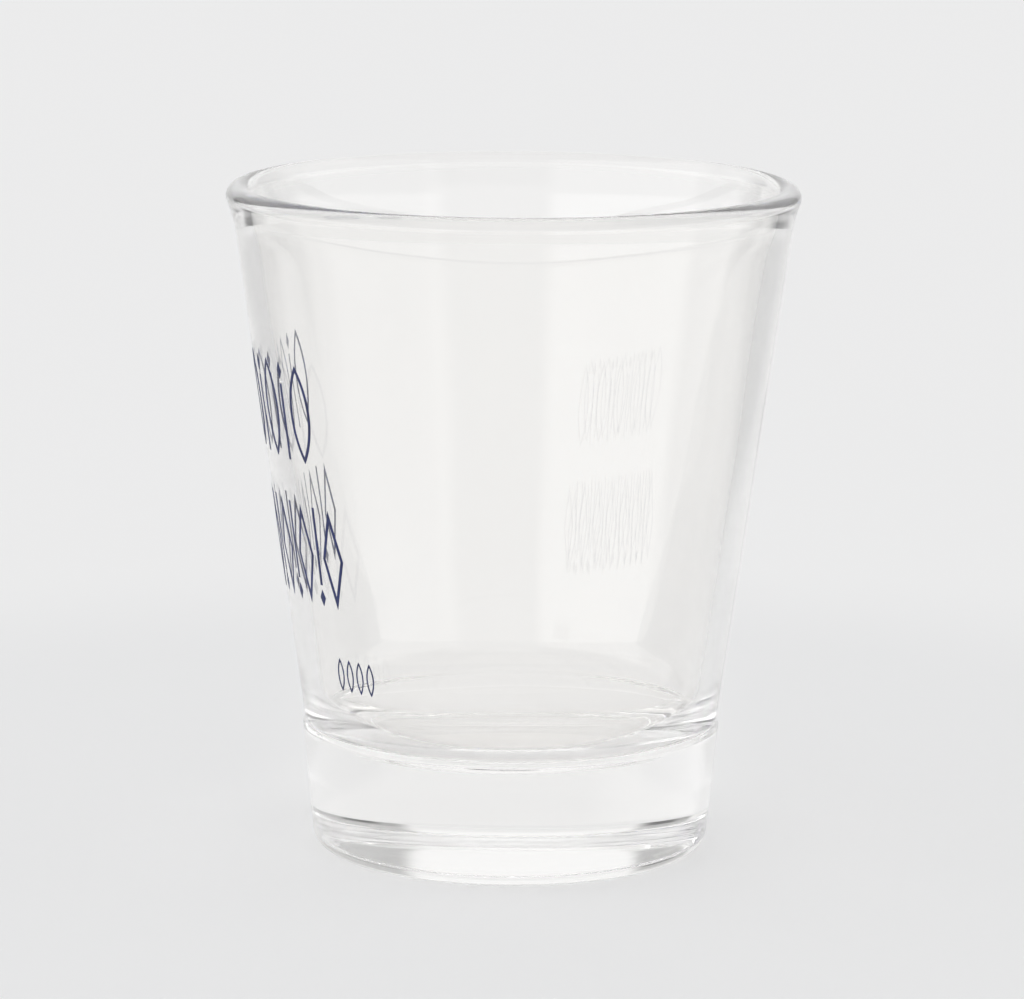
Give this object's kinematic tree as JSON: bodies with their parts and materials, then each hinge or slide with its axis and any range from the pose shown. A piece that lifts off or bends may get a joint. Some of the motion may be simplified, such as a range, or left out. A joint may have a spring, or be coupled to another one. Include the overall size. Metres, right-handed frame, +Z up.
{
  "type": "shot glass",
  "caption": "Small tapered drinking glass with a thick solid base, a flared rounded lip and a thin-line ornament printed on one side.",
  "frame": {"origin": "middle of the plane that the foot stands on", "axes": "+Z up along the glass's own axis, towards the open lip; the middle of the print faces -Y"},
  "size_m": [0.0512, 0.0512, 0.06],
  "materials": {
    "clear_glass": "fire polished, clear",
    "printed_ink": "satin navy ink, cured on the glass"
  },
  "bodies": {
    "root": {"glass_body": "clear_glass", "print_upper_row": "printed_ink", "print_lower_row": "printed_ink", "print_small_mark": "printed_ink"}
  },
  "joints": []
}
